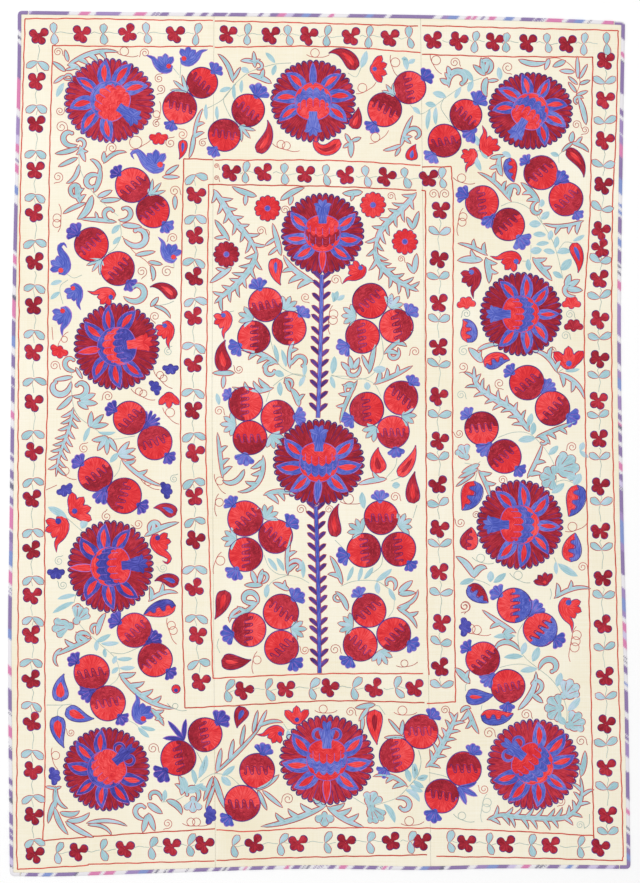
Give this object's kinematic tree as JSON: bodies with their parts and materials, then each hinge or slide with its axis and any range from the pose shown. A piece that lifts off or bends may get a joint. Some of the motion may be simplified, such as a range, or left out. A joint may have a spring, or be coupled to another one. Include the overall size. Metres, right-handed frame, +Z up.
{
  "type": "suzani embroidered textile",
  "caption": "Large flat embroidered cotton cloth, pieced from long panels, with rosettes, pomegranates and leaf borders inside a striped edge binding.",
  "frame": {"origin": "middle of the cloth's outline, on the surface that it lies on", "axes": "+Z up out of the embroidered face, +Y towards the head of the cloth along its longer side, +X to the right across its panels"},
  "size_m": [1.4623, 2.0338, 0.0031],
  "materials": {
    "ground": "matte handwoven cotton",
    "binding": "soft striped woven tape",
    "thread_crimson": "satin stitched silk",
    "thread_scarlet": "satin stitched silk",
    "thread_blue": "satin stitched silk",
    "thread_navy": "satin stitched silk",
    "thread_pale_blue": "satin stitched silk",
    "thread_outline_red": "chain stitched silk",
    "thread_outline_violet": "chain stitched silk",
    "thread_stem": "chain stitched silk",
    "thread_cream": "satin stitched silk"
  },
  "bodies": {
    "root": {"ground_left": "ground", "ground_centre": "ground", "ground_right": "ground", "binding_left": "binding", "binding_right": "binding", "binding_top": "binding", "binding_bottom": "binding"}
  },
  "joints": []
}
